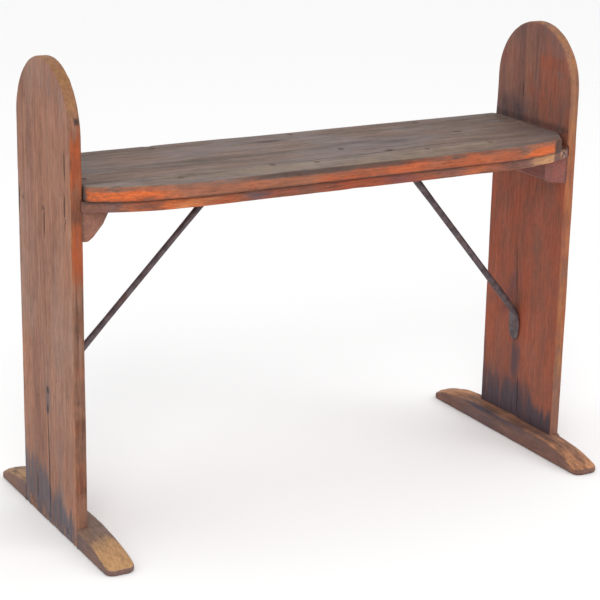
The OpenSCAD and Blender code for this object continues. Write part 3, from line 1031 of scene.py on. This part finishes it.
def paint_left_foot(points, normals):
    y, z = points[:, 1], points[:, 2]
    up = facing(normals, Z, 1, 0.4, 0.9)
    side = 1 - up
    off_middle = np.abs(y)
    nose = smooth(96, 150, off_middle)
    rub = up * nose * (1.0 + 0.5 * fbm(points, 30, 101)) * (y < 0) + 0.5 * up * (y > 0)
    paint = 0.8 * side + 0.3 * up * (1 - nose)
    stain = 0.4 * side * smooth(140, 90, off_middle) + 0.4 * up * (y > 90) * smooth(16, 4, np.abs(y - 98))
    dirt_and_shade = 0.35 * smooth(6, 0, z) + 0.4 * smooth(6, 1, np.abs(off_middle - 90)) * up
    return wear_and_shade(stain, paint, rub, dirt_and_shade)


def paint_right_foot(points, normals):
    x, y, z = points.T
    up, inner = facing(normals, Z, 1, 0.3, 0.95), facing(normals, X, -1, 0.2, 0.8)
    nose = smooth(100, 165, np.abs(y))
    rub = up * (0.5 + 0.3 * nose) * (0.85 + 0.5 * fbm(points, 30, 106)) + 0.35 * inner * smooth(150, 178, -y)
    paint = 0.85 * inner * smooth(24, 12, z)
    streaks = clipped(0.55 + fbm((x, 0.08 * y, z), 8, 105))
    stain = 0.85 * (inner + 0.3 * up) * band(y, 20, 84, 0.8) * smooth(6, 18, z) * streaks
    dirt_and_shade = 0.35 * smooth(6, 0, z) + 0.3 * smooth(8, 1, np.abs(x - 364)) * up * (np.abs(y) < 90)
    return wear_and_shade(stain, paint, rub, dirt_and_shade, 0.3 * inner * smooth(16, 6, z))


def cleat(side):
    """A cleat under the seat: its end outline in X and Z, carried along Y."""
    node = SIDE_NAMES[side] + "_cleat"
    low, high = node_box(node)
    near, far = reach_x(node)
    w, h = far - near, high[Z] - low[Z]
    corners, radii = [(0, -h), (0, 0), (-w, 0)], [0.8, 0.3, 0.3]
    if side == LEFT:
        corners += [(-w, -0.04 * h), (-0.77 * w, -0.45 * h), (-0.36 * w, -0.88 * h), (-0.17 * w, -h)]
        radii += [0, 4, 3, 2]
    else:
        corners += [(-w, -0.78 * h), (-0.9 * w, -0.86 * h)]
        radii += [2, 2]
    uvh, out, faces = carve(
        densify(rounded(corners[::-1], radii[::-1], 4), 2.5), constant(-high[Y]), constant(-low[Y]),
        constant(1.0), constant(1.4), cell=3.0, wall_rows=44,
    )
    touching = (uvh[:, 0] > -0.6) | (uvh[:, 1] > -0.6)
    rough = 0.5 * fbm(uvh * [1, 1, 0.12], 9, 110 + side)
    shaped = uvh - out * np.where(touching, 0, np.maximum(rough, 0) + 0.1)[:, None]
    points = np.stack([side * (far + shaped[:, 0]), -shaped[:, 2], high[Z] + shaped[:, 1]], 1)
    normals = np.stack([side * out[:, 0], -out[:, 2], out[:, 1]], 1)
    masks = paint_cleat(points, normals, side)
    make_piece(node, "_worn", cleat_wood, points, faces, masks)


def paint_cleat(points, normals, side):
    x, z = points[:, 0], points[:, 2]
    front, beneath = facing(normals, Y, -1, 0.4, 0.8), facing(normals, Z, -1, 0.2, 0.8)
    paint = np.full(len(points), 0.2 if side == LEFT else 0.75)
    # painted contact shadow on the front face where the cleat meets the end board
    painted_contact_shadow = 0.6 * smooth(3, 0.5, 366 - np.abs(x)) * front
    # the sides and the underside a little darker, with the painted contact shadow
    dirt_and_shade = most(0.1 * (1 - front) + 0.1 * beneath, painted_contact_shadow)
    rub = 0.3 * front * clipped(fbm(points, 14, 121)) + 0.4 * (1 - front) * smooth(420, 412, z)
    return wear_and_shade(0.25 * front * smooth(420, 408, z), paint, rub, dirt_and_shade)


# ---- braces and fasteners ----


def loft(rings):
    """A closed solid through rings of equal length, with a fan of triangles at each end."""
    count = len(rings[0])
    points = np.concatenate([*rings, [rings[0].mean(0)], [rings[-1].mean(0)]])
    faces = quads(len(rings), count)
    last = (len(rings) - 1) * count
    for first, centre in ((0, last + count), (last, last + count + 1)):
        faces += [(centre, first + i, first + (i + 1) % count) for i in range(count)]
    return points, faces


def brace_sizes(s):
    """Width across and thickness of the brace at each distance along it."""
    stations = [0, 2, 8, 15, 24, 33, 40, 46, 54, 90, 104, 130]
    widths = [8, 14, 20, 23, 24, 22, 17, 12.5, 10.4, 9.6, 9.2, 8.4]
    thicks = [2.2, 3.0, 3.4, 3.5, 3.5, 4.2, 6.0, 8.2, 9.4, 9.4, 9.0, 8.4]
    end = np.minimum(s, s[-1] - s)
    return np.array([np.interp(end, stations, sizes) for sizes in (widths, thicks)])


def bend(a, b, c):
    """A smooth bend from a to c, drawn towards b."""
    return [(1 - t) ** 2 * a + 2 * t * (1 - t) * b + t**2 * c for t in np.linspace(0, 1, 6)]


def brace_path(side):
    """The brace's middle line in X and Z, bent towards a leaf at each end."""
    node = SIDE_NAMES[side] + "_brace"
    low, high = node_box(node)
    tip_x, face_x = reach_x(node)
    leaf_run, rod_r, leaf_r, bend_run, lift = 45.0, 4.5, 1.75, 10.0, 0.9
    upper = np.array([tip_x + leaf_run, high[Z] - rod_r])
    lower = np.array([face_x - rod_r, low[Z] + leaf_run])
    slope = (lower - upper) / np.hypot(*(lower - upper))
    into = np.array([upper[0] - 14, high[Z] - leaf_r - lift])
    leave = np.array([face_x - leaf_r - lift, lower[1] - 14])
    return resample([
        np.array([tip_x, high[Z] - leaf_r]),
        *bend(into, upper, upper + slope * bend_run),
        *bend(lower - slope * bend_run, lower, leave),
        np.array([face_x - leaf_r, low[Z]]),
    ])


def brace(side):
    """A rod, round in its middle and hammered into a flat leaf at each end."""
    node = SIDE_NAMES[side] + "_brace"
    y = node_middle(node)[Y]
    path, tangent, s = brace_path(side)
    in_rod = smooth(40, 90, np.minimum(s, s[-1] - s))
    heavier = 1 + (0.12 if side == RIGHT else -0.03) * in_rod
    rim = circle(28)
    rings = []
    for (x, z), (ahead_x, ahead_z), width, thick in zip(path, tangent, *(heavier * brace_sizes(s))):
        roundness = 1 - 0.5 * smooth(10, 20, width)
        across, through = (np.sign(rim) * np.abs(rim) ** roundness).T / 2
        ring_x = side * (x + ahead_z * thick * through)
        rings.append(np.stack([ring_x, y + width * across, z - ahead_x * thick * through], 1))
    points, faces = loft(rings)
    points[:, 1] += 0.4 * fbm(points, 11, 130 + side) * smooth(1, 4, np.abs(points[:, 1] - y))
    make_piece(node, "_forged", brace_iron, points, faces, sharp=70)


def turned(profile, count, wobble, seed):
    """A head and shank from (radius, height) pairs, slightly out of round."""
    rng = np.random.default_rng(seed)
    uneven = 1 + wobble * rng.uniform(-1, 1, count)
    tilt = rng.uniform(-0.12, 0.12, 2)
    rings = []
    for radius, height in profile:
        x, y = radius * circle(count).T * (uneven if radius > 2 else 1)
        rings.append(np.stack([x, y, height + (tilt[0] * x + tilt[1] * y) * 0.5], 1))
    return loft(rings)


def aimed(points, axis, sign):
    """Turns points so that their own Z runs along X or Z, forwards or backwards."""
    x, y, z = points.T
    return np.column_stack((sign * z, x, y) if axis == X else (x, y, sign * z))


def nails(node, places, axis, sign, length, sink, seed):
    """The hammered nails of one CAD node, their heads facing along an axis and sunk a little."""
    profile = [(0.9, -0.1), (2.2, -0.25), (3.0, -0.6), (3.3, -1.1), (2.9, -1.6), (1.6, -1.9),
               (1.5, -length * 0.6), (0.9, -length + 2), (0.2, -length)]
    points, faces = np.zeros((0, 3)), []
    for k, place in enumerate(places):
        nail, nail_faces = turned(profile, 11, 0.1, seed + k)
        nail[:, 2] -= sink
        faces += [tuple(len(points) + v for v in face) for face in nail_faces]
        points = np.concatenate([points, aimed(nail, axis, sign) + np.array(place)])
    make_piece(node, "_forged", nail_iron, points, faces, sharp=60)


def all_nails():
    """Nails down through the seat, and in through the end boards to the cleats and feet."""
    seat_top = node_box("top_board")[1][Z]
    hollows = seat_height(np.array(TOP_NAILS, float))
    places = [(x, y, seat_top + hollow) for (x, y), hollow in zip(TOP_NAILS, hollows)]
    nails("top_board_nails", places, Z, 1, 27, 1.2, 300)
    for side, name in SIDE_NAMES.items():
        low, high = node_box(name + "_seat_nails")
        places = [(x, y, seat_top) for x, y in end_nails(side)]
        nails(name + "_seat_nails", places, Z, 1, high[Z] - low[Z] - 1, 1.2, 320 + side)
        outer_x = side * reach_x(name + "_end_board")[1]
        for node, length in ((name + "_cleat_nails", 38), (name + "_foot_nails", 30)):
            places = [(outer_x, y, z) for y, z in nail_row(node)]
            nails(node, places, X, side, length, 1.0, 340 + side)


def leaf_fastener(node, place, axis, sign, head_r, head_h, shank_r, end, seed):
    """A rivet or screw with a hammered round head on a brace's leaf. end is its far end's profile."""
    profile = [(0.12 * head_r, head_h), (0.45 * head_r, 0.94 * head_h), (0.75 * head_r, 0.72 * head_h),
               (0.95 * head_r, 0.35 * head_h), (head_r, 0.08 * head_h), (0.97 * head_r, 0),
               (shank_r, -0.02), *end]
    points, faces = turned(profile, 16, 0.06, seed)
    points[:, 2] += LEAF_THICK
    points = aimed(points, axis, sign) + np.array(place)
    make_piece(node, "_forged", brace_iron, points, faces)


def brace_fasteners():
    """A rivet through each lower leaf and end board, and a screw through each upper leaf."""
    under_z = node_box("under_board")[0][Z]
    for side, name in SIDE_NAMES.items():
        near, far = reach_x(name + "_end_board")
        tail = near - far - 3.2  # just under the board's outer face
        end = [(3, tail + 2.0), (5, tail + 1.9), (5.1, tail + 0.5), (2.5, tail + 0.1)]
        rivet = name + "_brace_rivet"
        place = (side * near, *node_middle(rivet)[1:])
        leaf_fastener(rivet, place, X, -side, 6, 3.6, 3, end, 360)
        screw = name + "_brace_screw"
        place = (*node_middle(screw)[:2], under_z)
        leaf_fastener(screw, place, Z, -1, 5, 2.8, 2.5, [(2.5, -12.0), (1.25, -14.0)], 370)


# ---- stage, lights and camera ----


def camera():
    """A long lens, a little above the seat, turned 30 degrees to the bench's length."""
    yaw, pitch, roll = (math.radians(a) for a in (29.732, 17.026, 1.108))
    data = bpy.data.cameras.new("camera")
    data.sensor_width = 36
    data.lens = 110.96
    obj = add_to_scene("camera", data)
    tilt = Matrix.Rotation(math.pi / 2 - pitch, 4, "X") @ Matrix.Rotation(roll, 4, "Z")
    place = Matrix.Translation((-1.215, -2.1104, 1.003))
    obj.matrix_world = place @ Matrix.Rotation(-yaw, 4, "Z") @ tilt
    bpy.context.scene.camera = obj


def soft_light(name, place, target, power):
    data = bpy.data.lights.new(name, "AREA")
    data.shape = "DISK"
    data.size = 1.6
    data.energy = power
    obj = add_to_scene(name, data)
    obj.location = place
    obj.rotation_euler = (Vector(target) - Vector(place)).to_track_quat("-Z", "Y").to_euler()


def stage():
    """A wide pale floor under a white studio, with two soft lights."""
    mesh = bpy.data.meshes.new("floor")
    rim = 14.0 * circle(64)
    mesh.from_pydata([(x, y, -0.0005) for x, y in rim], [], [tuple(range(len(rim)))])
    s = Shader("pale_floor")
    s.surface({"Base Color": (0.96, 0.96, 0.96, 1), "Roughness": 0.9, "Specular IOR Level": 0.1})
    mesh.materials.append(s.material)
    add_to_scene("floor", mesh)
    world = bpy.data.worlds.new("studio")
    world.use_nodes = True
    background = world.node_tree.nodes["Background"].inputs
    background["Color"].default_value = (1, 1, 1, 1)
    background["Strength"].default_value = 0.97
    bpy.context.scene.world = world
    soft_light("key", (-1.6, -2.6, 2.4), (0, 0, 0.4), 34)
    soft_light("fill", (2.2, -1.8, 1.6), (0, 0, 0.3), 10)
    bpy.context.scene.view_settings.view_transform = "Standard"


def build():
    end_board(LEFT, LEFT_INNER_CRACKS, LEFT_OUTER_CRACKS, 0.0, paint_left_board, left_board_wood)
    end_board(RIGHT, RIGHT_INNER_CRACKS, RIGHT_OUTER_CRACKS, 4.0, paint_right_board, right_board_wood)
    top_board(TOP_NAILS + end_nails(LEFT) + end_nails(RIGHT))
    under_board()
    foot(LEFT, paint_left_foot, left_foot_wood, 100)
    foot(RIGHT, paint_right_foot, right_foot_wood, 104)
    for side in (LEFT, RIGHT):
        cleat(side)
        brace(side)
    brace_fasteners()
    all_nails()


build()
stage()
camera()
